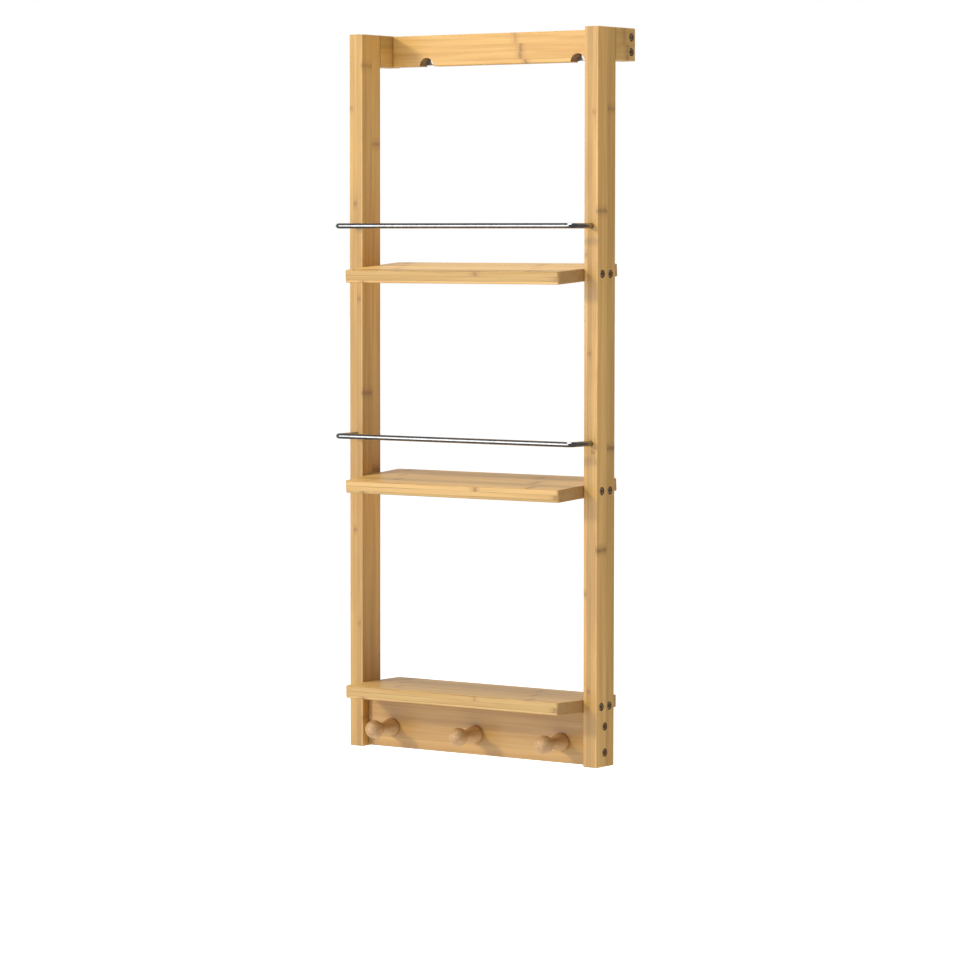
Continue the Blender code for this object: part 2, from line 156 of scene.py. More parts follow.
def noise(tree, place, scale, detail=2.0, roughness=0.5):
    """Cloudy noise at a place, about 0 to 1."""
    inputs = {"Vector": place, "Scale": scale, "Detail": detail, "Roughness": roughness}
    return put(tree, "ShaderNodeTexNoise", inputs).outputs["Fac"]


def stretched(tree, place, scale):
    """A place scaled by its own factor along each axis."""
    inputs = {0: place, 1: scale}
    return put(tree, "ShaderNodeVectorMath", inputs, operation="MULTIPLY").outputs[0]


def made_mesh(name, shape):
    """Turns a finished shape into a mesh."""
    mesh = bpy.data.meshes.new(name)
    shape.to_mesh(mesh)
    shape.free()
    return mesh


def new_material(name):
    """A material with its node tree and its surface shader."""
    material = bpy.data.materials.new(name)
    material.use_nodes = True
    return material, material.node_tree, material.node_tree.nodes["Principled BSDF"]


def add_lamp(name, side, rise, size, power, colour):
    """A lamp at a direction from the caddy's middle, which it faces."""
    way = Vector((
        -math.sin(side) * math.cos(rise), -math.cos(side) * math.cos(rise), math.sin(rise),
    ))
    lamp_data = bpy.data.lights.new(name, "AREA")
    lamp_data.shape = "RECTANGLE"
    lamp_data.size, lamp_data.size_y = size
    lamp_data.energy = power
    lamp_data.color = colour
    lamp = bpy.data.objects.new(name, lamp_data)
    scene.collection.objects.link(lamp)
    lamp.location = (cad_box[0] + cad_box[1]) / 2 + LAMP_DISTANCE * way
    lamp.rotation_euler = way.to_track_quat("Z", "Y").to_euler()
    return lamp


key = add_lamp(
    "key_lamp", KEY_SIDE, KEY_RISE, (KEY_SIZE, KEY_SIZE), KEY_POWER, (1.0, 0.985, 0.965),
)
key.visible_glossy = False
card = add_lamp(
    "front_card", CARD_SIDE, CARD_RISE, (CARD_WIDTH, CARD_HEIGHT), CARD_POWER, (1.0, 1.0, 1.0),
)
card.visible_diffuse = False
add_lamp(
    "top_lamp", 0.0, TOP_LAMP_RISE, (TOP_LAMP_SIZE, TOP_LAMP_SIZE), TOP_LAMP_POWER,
    (0.97, 0.98, 1.0),
)

world = bpy.data.worlds.new("studio")
world.use_nodes = True
scene.world = world
room = world.node_tree
direction = put(room, "ShaderNodeTexCoord").outputs["Generated"]
inward = (-math.sin(CAMERA_TURN), math.cos(CAMERA_TURN), 0.0)
facing = put(room, "ShaderNodeVectorMath", {0: direction, 1: inward}, operation="DOT_PRODUCT")
facing = facing.outputs["Value"]
height = put(room, "ShaderNodeSeparateXYZ", {0: direction}).outputs["Z"]
light = ease(room, facing, -1.0, 0.4, ROOM_DARKEST, ROOM_BRIGHTEST)
below = ease(room, height, 0.0, -0.3)
light = put(room, "ShaderNodeMix", {0: below, 2: light, 3: ROOM_BELOW}).outputs[0]
low_down = ease(room, reckon(room, "ABSOLUTE", height), 0.75, 0.3)
mirrored = reckon(room, "MULTIPLY", ease(room, facing, 0.3, 0.8), low_down)
mirrored = ease(room, mirrored, 0.0, 1.0, SHEEN_DARKEST, ROOM_BRIGHTEST)
ray = put(room, "ShaderNodeLightPath").outputs
for kind, seen in (("Is Glossy Ray", mirrored), ("Is Camera Ray", 1.0)):
    light = put(room, "ShaderNodeMix", {0: ray[kind], 2: light, 3: seen}).outputs[0]
backdrop = room.nodes["Background"]
backdrop.inputs["Color"].default_value = (1.0, 1.0, 1.0, 1.0)
room.links.new(light, backdrop.inputs["Strength"])

floor_shape = bmesh.new()
bmesh.ops.create_grid(floor_shape, x_segments=8, y_segments=8, size=FLOOR_HALF)
floor_shape.transform(Matrix.Translation((0.0, 0.0, cad_box[0].z - FLOOR_DROP)))
floor = bpy.data.objects.new("floor", made_mesh("floor", floor_shape))
scene.collection.objects.link(floor)
floor_paint, tree, shader = new_material("floor_paint")
mottle = put(tree, "ShaderNodeTexNoise", {"Scale": 3.0, "Detail": 2.0}).outputs["Fac"]
pale = mingle(tree, ease(tree, mottle, 0.3, 0.7), (0.93, 0.93, 0.925, 1), (0.96, 0.96, 0.96, 1))
tree.links.new(pale, shader.inputs["Base Color"])
shader.inputs["Roughness"].default_value = 0.9
shader.inputs["Emission Color"].default_value = (1.0, 1.0, 1.0, 1.0)
shader.inputs["Emission Strength"].default_value = FLOOR_GLOW
floor.data.materials.append(floor_paint)
floor.visible_glossy = False
floor.visible_diffuse = False
scene.view_settings.view_transform = "Standard"


# Posts
# Two planed bars of laminated bamboo: plies side by side, each of two flat strips of the stalk.
# Their edges are rounded over, each is bored from outside for its screws, and satin lacquered.

ARRIS = 0.001                          # rounding of a board's edges
PLY = 0.0049                           # one layer of strips
STRIP = 0.0165                         # width of a strip
STALK_NODE_SPACING = 0.34              # between a stalk's nodes, along the grain
PLY_NODE_STEP = 0.29                   # nodes' shift from ply to ply, in spacings
WOOD_LIGHT = (0.640, 0.376, 0.100, 1)
WOOD_DEEP = (0.540, 0.288, 0.063, 1)
WOOD_STREAK = (0.430, 0.222, 0.045, 1)
WOOD_HAIR = (0.330, 0.158, 0.032, 1)
WOOD_STAIN = (0.350, 0.168, 0.036, 1)
WOOD_SCAR = (0.165, 0.068, 0.014, 1)
WOOD_GLUE = (0.220, 0.100, 0.022, 1)
# painted shade for the walls of holes, sockets and notches
WOOD_BORE_SHADE = (0.115, 0.052, 0.018, 1)
END_PITH = (0.450, 0.240, 0.072, 1)
END_BUNDLE = (0.210, 0.098, 0.028, 1)
END_PALE = (0.480, 0.290, 0.100, 1)
GLUE_LINE = 0.0005
COUNTERBORE_RADIUS = 0.0042
COUNTERBORE_DEPTH = 0.003
COUNTERBORE_CHAMFER = 0.00025
DRILL_RADIUS = 0.0023
DRILL_DEPTH = 0.0403                   # below the counterbore
OVERCUT = 0.001
ROUND_STEPS = 48
SHARP_ANGLE = math.radians(32)         # an edge that turns more is left sharp
SIDES = ("left", "right")
FACING = {
    "left": Matrix.Rotation(-math.pi / 2, 4, "Y"),
    "right": Matrix.Rotation(math.pi / 2, 4, "Y"),
    "front": Matrix.Rotation(math.pi / 2, 4, "X"),
    "back": Matrix.Rotation(-math.pi / 2, 4, "X"),
}
X, Y, Z = Vector((1, 0, 0)), Vector((0, 1, 0)), Vector((0, 0, 1))


def finish_surface(tree, shader, colour, roughness, relief, strength):
    """Gives a surface its colour, its roughness, and bumps from a relief in metres."""
    tree.links.new(colour, shader.inputs["Base Color"])
    tree.links.new(roughness, shader.inputs["Roughness"])
    bump = put(tree, "ShaderNodeBump", {"Height": relief, "Distance": 1.0, "Strength": strength})
    tree.links.new(bump.outputs["Normal"], shader.inputs["Normal"])


def laminated_bamboo(name, light, deep):
    """Strips with their own tone and fibres, glue lines between them, and the stalk's nodes."""
    material, tree, shader = new_material(name)
    grain = put(tree, "ShaderNodeAttribute", attribute_name="grain").outputs["Vector"]
    along, across, through = put(tree, "ShaderNodeSeparateXYZ", {0: grain}).outputs
    strip_place = reckon(tree, "DIVIDE", across, STRIP)
    ply_place = reckon(tree, "DIVIDE", through, PLY)
    strip = reckon(tree, "FLOOR", strip_place)
    ply = reckon(tree, "FLOOR", ply_place)
    stick = put(tree, "ShaderNodeCombineXYZ", {0: strip, 1: ply, 2: 0.5}).outputs[0]
    own = put(tree, "ShaderNodeTexWhiteNoise", {"Vector": stick}, noise_dimensions="3D")
    own_tone, own_shift = own.outputs["Value"], own.outputs["Color"]

    # Glue lines, as the distance to the nearest seam
    seams = []
    for place, width in ((strip_place, STRIP), (ply_place, PLY)):
        off_middle = reckon(tree, "SUBTRACT", reckon(tree, "FRACT", place), 0.5)
        off_middle = reckon(tree, "ABSOLUTE", off_middle)
        seams.append(ease(tree, off_middle, 0.5 - GLUE_LINE / width, 0.5))
    seam = reckon(tree, "MAXIMUM", reckon(tree, "MULTIPLY", seams[0], 0.45), seams[1])
    drift = noise(tree, stretched(tree, grain, (9, 60, 60)), 1.0)
    seam = reckon(tree, "MULTIPLY", seam, ease(tree, drift, 0.38, 0.62, 0.3, 1.0))

    # Fibres: broad clouds, long streaks, and fine hairs between them
    def fibres(along_size, across_size, detail):
        scaled = stretched(tree, grain, (1 / along_size, 1 / across_size, 1 / across_size))
        inputs = {0: own_shift, 1: (37, 41, 43), 2: scaled}
        place = put(tree, "ShaderNodeVectorMath", inputs, operation="MULTIPLY_ADD").outputs[0]
        return noise(tree, place, 1.0, detail, 0.6)

    clouds = fibres(0.16, 0.006, 2.0)
    streaks = fibres(0.12, 0.0016, 3.0)
    hairs = fibres(0.026, 0.00036, 2.0)

    # Nodes of the stalk: each strip has its own, some dark and some faint
    node_step = put(tree, "ShaderNodeAttribute", attribute_name="node_step").outputs["Fac"]
    step = reckon(tree, "MULTIPLY", ply, PLY_NODE_STEP)
    step = reckon(tree, "FRACT", reckon(tree, "MULTIPLY_ADD", strip, node_step, step))
    node_place = reckon(tree, "ADD", reckon(tree, "DIVIDE", along, STALK_NODE_SPACING), step)
    number = reckon(tree, "FLOOR", reckon(tree, "ADD", node_place, 0.5))
    away = reckon(tree, "SUBTRACT", node_place, number)
    away = reckon(tree, "MULTIPLY", away, STALK_NODE_SPACING)
    wander = reckon(tree, "MULTIPLY_ADD", fibres(0.012, 0.0012, 2.0), 0.007, -0.0035)
    ragged = reckon(tree, "ABSOLUTE", reckon(tree, "ADD", away, wander))
    away = reckon(tree, "ABSOLUTE", away)
    which = put(tree, "ShaderNodeCombineXYZ", {0: strip, 1: ply, 2: number}).outputs[0]
    strength = put(tree, "ShaderNodeTexWhiteNoise", {"Vector": which}, noise_dimensions="3D")
    strength = ease(tree, strength.outputs["Value"], 0.0, 0.8, 0.5, 1.0)
    broken = ease(tree, hairs, 0.38, 0.56, 0.15, 1.0)
    scar = reckon(tree, "MULTIPLY", ease(tree, ragged, 0.0028, 0.0005), broken)
    scar = reckon(tree, "MULTIPLY", scar, strength)
    stain = reckon(tree, "MULTIPLY", ease(tree, away, 0.0095, 0.001), strength)

    # Cut ends show fibre bundles as dots; faces down in holes and notches get painted shade
    end = put(tree, "ShaderNodeAttribute", attribute_name="end_grain").outputs["Fac"]
    bored = put(tree, "ShaderNodeAttribute", attribute_name="bored").outputs["Fac"]
    flat = reckon(tree, "MULTIPLY", across, 0.4)
    flat = put(tree, "ShaderNodeCombineXYZ", {0: flat, 1: through, 2: 0.0}).outputs[0]
    inputs = {"Vector": flat, "Scale": 1900.0, "Randomness": 0.85}
    bundles = put(tree, "ShaderNodeTexVoronoi", inputs)
    dot = ease(tree, bundles.outputs["Distance"], 0.42, 0.2)

    wood = mingle(tree, ease(tree, clouds, 0.3, 0.7), light, deep)
    wood = mingle(tree, ease(tree, streaks, 0.45, 0.78, 0.0, 0.26), wood, WOOD_STREAK)
    wood = mingle(tree, ease(tree, hairs, 0.5, 0.75, 0.0, 0.18), wood, WOOD_HAIR)
    toned = ease(tree, own_tone, 0.0, 1.0, 0.80, 1.10)
    paler = reckon(tree, "MULTIPLY_ADD", toned, 1.5, -0.5)
    tone = put(tree, "ShaderNodeCombineColor", {0: toned, 1: toned, 2: paler}).outputs[0]
    wood = mingle(tree, 1.0, wood, tone, "MULTIPLY")
    wood = mingle(tree, reckon(tree, "MULTIPLY", stain, 0.45), wood, WOOD_STAIN)
    wood = mingle(tree, reckon(tree, "MULTIPLY", scar, 0.62), wood, WOOD_SCAR)
    wood = mingle(tree, reckon(tree, "MULTIPLY", seam, 0.72), wood, WOOD_GLUE)
    cut_end = mingle(tree, dot, END_PITH, END_BUNDLE)
    cut_end = mingle(tree, ease(tree, clouds, 0.35, 0.7, 0.0, 0.4), cut_end, END_PALE)
    wood = mingle(tree, end, wood, cut_end)
    # Painted shade: faces down in holes, sockets, notches and pockets are darkened
    wood = mingle(tree, reckon(tree, "MULTIPLY", bored, 0.7), wood, WOOD_BORE_SHADE)

    rough = reckon(tree, "MULTIPLY_ADD", streaks, 0.16, 0.40)
    rough = reckon(tree, "MULTIPLY_ADD", end, 0.2, rough)
    shader.inputs["Coat Weight"].default_value = 0.16
    shader.inputs["Coat Roughness"].default_value = 0.24
    shader.inputs["Specular IOR Level"].default_value = 0.62
    relief = reckon(tree, "MULTIPLY", hairs, 0.00003)
    relief = reckon(tree, "MULTIPLY_ADD", streaks, 0.00004, relief)
    relief = reckon(tree, "MULTIPLY_ADD", scar, 0.00012, relief)
    relief = reckon(tree, "MULTIPLY_ADD", seam, -0.00009, relief)
    finish_surface(tree, shader, wood, rough, relief, 0.7)
    return material


def block_mesh(name, low, high, arris, plain_side=None):
    """A block with its edges rounded, apart from those round the side that faces plain_side."""
    shape = bmesh.new()
    place = Matrix.Translation((low + high) / 2) @ Matrix.Diagonal((*(high - low), 1.0))
    bmesh.ops.create_cube(shape, size=1.0, matrix=place)
    edges = shape.edges[:]
    if plain_side:
        reach = max(vertex.co.dot(plain_side) for vertex in shape.verts) - arris
        edges = [edge for edge in edges if min(v.co.dot(plain_side) for v in edge.verts) < reach]
    if arris:
        bmesh.ops.bevel(
            shape, geom=edges, offset=arris, offset_type="OFFSET", segments=4, profile=0.5,
            affect="EDGES", clamp_overlap=True,
        )
    return made_mesh(name, shape)


def turned_mesh(name, profile, place, steps=ROUND_STEPS):
    """Turns (radius, height) points about Z, closes the result and stands it at a place."""
    shape = bmesh.new()
    points = [shape.verts.new((radius, 0.0, height)) for radius, height in profile]
    lines = [shape.edges.new(pair) for pair in zip(points, points[1:])]
    bmesh.ops.spin(
        shape, geom=points + lines, cent=(0, 0, 0), axis=(0, 0, 1), angle=2 * math.pi, steps=steps,
    )
    bmesh.ops.remove_doubles(shape, verts=shape.verts, dist=0.000001)
    bmesh.ops.recalc_face_normals(shape, faces=shape.faces)
    shape.transform(place)
    return made_mesh(name, shape)


def new_piece(name, mesh):
    piece = bpy.data.objects.new(name, mesh)
    scene.collection.objects.link(piece)
    return piece


def settle(piece):
    """Applies a piece's modifiers."""
    bpy.context.view_layer.update()
    evaluated = piece.evaluated_get(bpy.context.evaluated_depsgraph_get())
    mesh = bpy.data.meshes.new_from_object(evaluated)
    piece.modifiers.clear()
    piece.data = mesh


def carve(piece, cutter_meshes):
    """Cuts shapes out of a piece, then evens out the shading of its flats and rounded edges."""
    cutters = [new_piece("cutter", mesh) for mesh in cutter_meshes]
    for cutter in cutters:
        modifier = piece.modifiers.new("cut", "BOOLEAN")
        modifier.operation = "DIFFERENCE"
        modifier.object = cutter
    settle(piece)
    for cutter in cutters:
        bpy.data.objects.remove(cutter)
    piece.data.shade_smooth()
    piece.data.set_sharp_from_angle(angle=SHARP_ANGLE)
    modifier = piece.modifiers.new("even_shading", "WEIGHTED_NORMAL")
    modifier.keep_sharp = True
    settle(piece)


def side_screw_hole(node):
    """Counterbore and drilled hole for the screw at a node, which enters a side from outside."""
    low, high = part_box(node)
    side = "right" if high.x > 0 else "left"
    face_x = math.copysign(cad_box[1].x, high.x)
    entry = (face_x, (low.y + high.y) / 2, (low.z + high.z) / 2)
    profile = [
        (0, OVERCUT),
        (COUNTERBORE_RADIUS + COUNTERBORE_CHAMFER + OVERCUT, OVERCUT),
        (COUNTERBORE_RADIUS, -COUNTERBORE_CHAMFER),
        (COUNTERBORE_RADIUS, -COUNTERBORE_DEPTH),
        (DRILL_RADIUS, -COUNTERBORE_DEPTH),
        (DRILL_RADIUS, -COUNTERBORE_DEPTH - DRILL_DEPTH),
        (0, -COUNTERBORE_DEPTH - DRILL_DEPTH),
    ]
    return turned_mesh("screw_hole", profile, Matrix.Translation(entry) @ FACING[side])


def lay_grain(piece, along, across, through, seams, node_step, node_point, bores=True):
    """Stores how a board was sawn from its stock.

    seams gives how far the seams across and through lie from the middle of the frame. One of
    the nodes is at node_point, and node_step shifts each strip's nodes from the last one's.
    """
    mesh = piece.data
    node_at = node_point.dot(across) + seams[0], node_point.dot(through) + seams[1]
    strip, ply = math.floor(node_at[0] / STRIP), math.floor(node_at[1] / PLY)
    step = (strip * node_step + ply * PLY_NODE_STEP) % 1
    sawn_at = (-node_point.dot(along) - step * STALK_NODE_SPACING, *seams)
    grain = mesh.attributes.new("grain", "FLOAT_VECTOR", "POINT")
    places = [
        Vector((v.co.dot(along), v.co.dot(across), v.co.dot(through))) for v in mesh.vertices
    ]
    for place, item in zip(places, grain.data):
        item.vector = place + Vector(sawn_at)
    steps = mesh.attributes.new("node_step", "FLOAT", "POINT")
    steps.data.foreach_set("value", [node_step] * len(mesh.vertices))
    low = [min(place[axis] for place in places) for axis in range(3)]
    high = [max(place[axis] for place in places) for axis in range(3)]
    ends = mesh.attributes.new("end_grain", "FLOAT", "FACE")
    bored = mesh.attributes.new("bored", "FLOAT", "FACE")
    for face in mesh.polygons:
        ends.data[face.index].value = 1.0 if abs(face.normal.dot(along)) > 0.8 else 0.0
        # Faces deeper than the rounded edges, in holes, sockets and notches, are marked for painted
        # shade
        if bores:
            centre = (face.center.dot(along), face.center.dot(across), face.center.dot(through))
            depths = [min(c - l, h - c) for c, l, h in zip(centre, low, high)]
            bored.data[face.index].value = 1.0 if min(depths) > 1.05 * ARRIS else 0.0


def fit_up(piece, slot, material, *nodes):
    """Hangs a finished piece on the caddy in place of its plain nodes."""
    piece.data.materials.clear()
    piece.data.materials.append(material)
    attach(piece, "root")
    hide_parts(*nodes)


POST_BAMBOO = laminated_bamboo("post_bamboo", WOOD_LIGHT, WOOD_DEEP)
LEVELS = ("upper", "middle", "lower")
ROD_RADIUS = 0.00275
ROD_SOCKET_DEPTH = 0.0123
ROD_SOCKET_RADIUS = ROD_RADIUS + 0.0002
post_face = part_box("left_post")[0].y
rail_seats = {
    level: (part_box(level + "_rail")[0].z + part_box(level + "_rail")[1].z) / 2
    for level in ("upper", "middle")
}
post_middle = (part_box("right_post")[0].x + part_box("right_post")[1].x) / 2
side_screws = {}
for side in SIDES:
    side_screws[side] = [
        f"{level}_shelf_{side}_{place}_screw" for level in LEVELS for place in ("front", "back")
    ]
    side_screws[side] += [f"peg_rail_{side}_{place}_screw" for place in ("upper", "lower")]

for side, sign, seams, node_step, node_point in (
    ("left", -1, (0.0497, 0.1565), 0.238, (-0.140, -0.060, -0.016)),
    ("right", 1, (0.1157, 0.0031), -0.3, (0.1564, -0.060, -0.167)),
):
    low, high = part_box(side + "_post")
    post = new_piece(side + "_post_bar", block_mesh(side + "_post_bar", low, high, ARRIS))
    cutters = [side_screw_hole(node) for node in side_screws[side]]
    socket = [
        (0, OVERCUT),
        (ROD_SOCKET_RADIUS, OVERCUT),
        (ROD_SOCKET_RADIUS, -ROD_SOCKET_DEPTH),
        (0, -ROD_SOCKET_DEPTH),
    ]
    for z in rail_seats.values():
        place = Matrix.Translation((sign * post_middle, post_face, z)) @ FACING["front"]
        cutters.append(turned_mesh("rod_socket", socket, place))
    carve(post, cutters)
    lay_grain(post, Z, Y, X, seams, node_step, Vector(node_point))
    fit_up(post, "post_bamboo", POST_BAMBOO, side + "_post")


# Arms
# A short block behind each post's top reaches back to the wall. Its grain runs front to back.
# It is glued and dowelled to the post, and two screws through it hold the crossbar.

for side, seams, node_point in (
    ("left", (0.014, 0.1565), (-0.140, -0.150, 0.0)),
    ("right", (0.0168, 0.0031), (0.1564, -0.020, 0.005)),
):
    low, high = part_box(side + "_arm")
    low.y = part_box(side + "_post")[1].y
    arm = new_piece(side + "_arm_block", block_mesh(side + "_arm_block", low, high, ARRIS, -Y))
    carve(arm, [side_screw_hole(f"{side}_arm_{place}_screw") for place in ("upper", "lower")])
    lay_grain(arm, Y, Z, X, seams, 0.015, Vector(node_point))
    fit_up(arm, "post_bamboo", POST_BAMBOO, side + "_arm")


# Crossbar
# A bamboo bar on edge between the arms. Two half-round notches in its underside let in the wall
# screws' heads, behind which a keyhole plate lies flush in the bar's back.

NOTCH_RADIUS = 0.0087
NOTCH_CHAMFER = 0.0003
PLATE_THICKNESS = 0.0015
PLATE_CLEARANCE = 0.0003
HEAD_POCKET_WIDTH = 0.010
HEAD_POCKET_DEPTH = 0.006
HEAD_POCKET_TOP = 0.017                # above the bar's underside
PLATE_SCREW_HEAD = 0.0028
PLATE_SCREW_SHANK = 0.0014
PLATE_SCREW_LENGTH = 0.0095


def countersunk_hole(head_radius, shank_radius, length, place):
    """A drilled hole with a cone for the head. Its mouth is at the place, which it enters."""
    clearance = 0.0002
    wide = head_radius + clearance
    drill = shank_radius + clearance
    profile = [
        (0, OVERCUT),
        (wide, OVERCUT),
        (wide, 0),
        (drill, shank_radius - head_radius),
        (drill, -length - clearance),
        (0, -length - clearance),
    ]
    return turned_mesh("countersunk_hole", profile, place, 32)


def screw_seat(node, face_y):
    """Where a screw that points forward from a back face has the middle of its head."""
    low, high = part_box(node)
    return Matrix.Translation(((low.x + high.x) / 2, face_y, (low.z + high.z) / 2)) @ FACING["back"]


def plate_screw_holes(side, face_y):
    """The two countersunk holes of one keyhole plate."""
    seats = [screw_seat(f"{side}_plate_{place}_screw", face_y) for place in ("inner", "outer")]
    sizes = PLATE_SCREW_HEAD, PLATE_SCREW_SHANK, PLATE_SCREW_LENGTH
    return [countersunk_hole(*sizes, seat) for seat in seats]


low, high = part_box("top_crossbar")
thickness = high.y - low.y
crossbar = new_piece("crossbar", block_mesh("crossbar", low, high, ARRIS))
cutters = []
notch = [
    (0, OVERCUT),
    (NOTCH_RADIUS + OVERCUT, OVERCUT),
    (NOTCH_RADIUS, -NOTCH_CHAMFER),
    (NOTCH_RADIUS, NOTCH_CHAMFER - thickness),
    (NOTCH_RADIUS + OVERCUT, -thickness - OVERCUT),
    (0, -thickness - OVERCUT),
]
for side in SIDES:
    plate_low, plate_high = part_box(side + "_keyhole_plate")
    x = (plate_low.x + plate_high.x) / 2
    notch_place = Matrix.Translation((x, high.y, low.z)) @ FACING["back"]
    cutters.append(turned_mesh("notch", notch, notch_place, 64))
    room_round = Vector((PLATE_CLEARANCE,) * 3)
    recess_high = plate_high + room_round + Vector((0, OVERCUT, 0))
    cutters.append(block_mesh("recess", plate_low - room_round, recess_high, 0))
    pocket_low = Vector((x - HEAD_POCKET_WIDTH / 2, -PLATE_THICKNESS - HEAD_POCKET_DEPTH, low.z))
    pocket_high = Vector((x + HEAD_POCKET_WIDTH / 2, -PLATE_THICKNESS, low.z + HEAD_POCKET_TOP))
    cutters.append(block_mesh("head_pocket", pocket_low, pocket_high, 0))
    cutters += [side_screw_hole(f"{side}_arm_{place}_screw") for place in ("upper", "lower")]
    cutters += plate_screw_holes(side, high.y)
carve(crossbar, cutters)
lay_grain(crossbar, X, Z, Y, (0.0281, 0.0153), 0.02, Vector((0.0246, -0.0139, 0.0)))
fit_up(crossbar, "post_bamboo", POST_BAMBOO, "top_crossbar")


# Keyhole plates
# Pressed from 1.5 mm steel and zinc plated, each with a keyhole: a round entry for a wall
# screw's head and a slot above it for the shank. Two small screws hold each in the bar's back.

PLATE_CORNER = 0.004
PLATE_EDGE = 0.0002
KEYHOLE_RADIUS = 0.0042
KEYHOLE_HEIGHT = 0.005
SLOT_RADIUS = 0.0022
SLOT_HEIGHT = 0.0105
CUTTER_BACK = 0.002                    # how far the cutters stand past the plate
CUTTER_FRONT = -0.004
ZINC_DARK = (0.42, 0.42, 0.43, 1)
ZINC_LIGHT = (0.60, 0.60, 0.61, 1)


def rounded_outline(corners, radius, steps=6):
    """Rounds each corner of a closed outline with an arc that touches both its edges."""
    points = []
    for index, corner in enumerate(corners):
        here = Vector(corner)
        before = (Vector(corners[index - 1]) - here).normalized()
        after = (Vector(corners[(index + 1) % len(corners)]) - here).normalized()
        half_angle = before.angle(after) / 2
        centre = here + (before + after).normalized() * radius / math.sin(half_angle)
        start = here + before * radius / math.tan(half_angle) - centre
        end = here + after * radius / math.tan(half_angle) - centre
        turn = start.angle_signed(end)
        for step in range(steps + 1):
            points.append(centre + Matrix.Rotation(-turn * step / steps, 2) @ start)
    return points


def sheet_mesh(name, outline, thickness, edge_radius, place, segments=4):
    """A flat piece cut to an outline in its own XY plane, with the edges of both faces rounded."""
    shape = bmesh.new()
    rings = []
    for height in (-thickness / 2, thickness / 2):
        rings.append([shape.verts.new((x, y, height)) for x, y in outline])
    faces = [shape.faces.new(ring) for ring in rings]
    rims = [edge for face in faces for edge in face.edges]
    for index in range(len(outline)):
        below, above = rings
        after = (index + 1) % len(outline)
        shape.faces.new((below[index], below[after], above[after], above[index]))
    bmesh.ops.recalc_face_normals(shape, faces=shape.faces)
    bmesh.ops.bevel(
        shape, geom=rims, offset=edge_radius, offset_type="OFFSET", segments=segments, profile=0.5,
        affect="EDGES", clamp_overlap=True,
    )
    shape.transform(place)
    return made_mesh(name, shape)


def zinc_plating():
    """Dull bright zinc with faint crystals and rolling lines."""
    material, tree, shader = new_material("zinc_plating")
    place = put(tree, "ShaderNodeTexCoord").outputs["Object"]
    crystals = put(tree, "ShaderNodeTexVoronoi", {"Vector": place, "Scale": 900.0})
    crystals = put(tree, "ShaderNodeSeparateColor", {0: crystals.outputs["Color"]}).outputs[0]
    lines = noise(tree, stretched(tree, place, (80, 80, 5000)), 1.0, 3.0)
    tone = reckon(tree, "MULTIPLY", crystals, lines)
    colour = mingle(tree, ease(tree, tone, 0.1, 0.5), ZINC_DARK, ZINC_LIGHT)
    rough = reckon(tree, "MULTIPLY_ADD", tone, 0.2, 0.26)
    shader.inputs["Metallic"].default_value = 1.0
    finish_surface(tree, shader, colour, rough, reckon(tree, "MULTIPLY", lines, 0.00002), 0.6)
    return material


ZINC = zinc_plating()
for side in SIDES:
    low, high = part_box(side + "_keyhole_plate")
    half_width = (high.x - low.x) / 2
    height = high.z - low.z
    corners = [(half_width, 0), (half_width, height), (-half_width, height), (-half_width, 0)]
    x = (low.x + high.x) / 2
    place = Matrix.Translation((x, (low.y + high.y) / 2, low.z)) @ FACING["front"]
    outline = rounded_outline(corners, PLATE_CORNER)
    plate_mesh = sheet_mesh(side + "_hanger_plate", outline, high.y - low.y, PLATE_EDGE, place, 2)
    plate = new_piece(side + "_hanger_plate", plate_mesh)
    cutters = []
    for radius, up in ((KEYHOLE_RADIUS, KEYHOLE_HEIGHT), (SLOT_RADIUS, SLOT_HEIGHT)):
        pin = [
            (0, CUTTER_BACK), (radius, CUTTER_BACK), (radius, CUTTER_FRONT), (0, CUTTER_FRONT),
        ]
        pin_place = Matrix.Translation((x, 0, low.z + up)) @ FACING["back"]
        cutters.append(turned_mesh("pin", pin, pin_place, 40))
    slot_low = Vector((x - SLOT_RADIUS, CUTTER_FRONT, low.z + KEYHOLE_HEIGHT))
    slot_high = Vector((x + SLOT_RADIUS, CUTTER_BACK, low.z + SLOT_HEIGHT))
    cutters.append(block_mesh("slot", slot_low, slot_high, 0))
    carve(plate, cutters + plate_screw_holes(side, high.y))
    fit_up(plate, "plate_steel", ZINC, side + "_keyhole_plate")


# Shelves
# Three alike bamboo boards between the posts, each held at either end by two screws. The front
# corners are cut back. The two upper boards tip forward a little, and the lowest is level.

SHELF_PITCH = math.radians(4.5)
SHELF_CORNER_INSET = 0.005
SHELF_CORNER_RADIUS = 0.003
SHELF_LIGHT = (0.670, 0.415, 0.135, 1)
SHELF_DEEP = (0.575, 0.325, 0.085, 1)

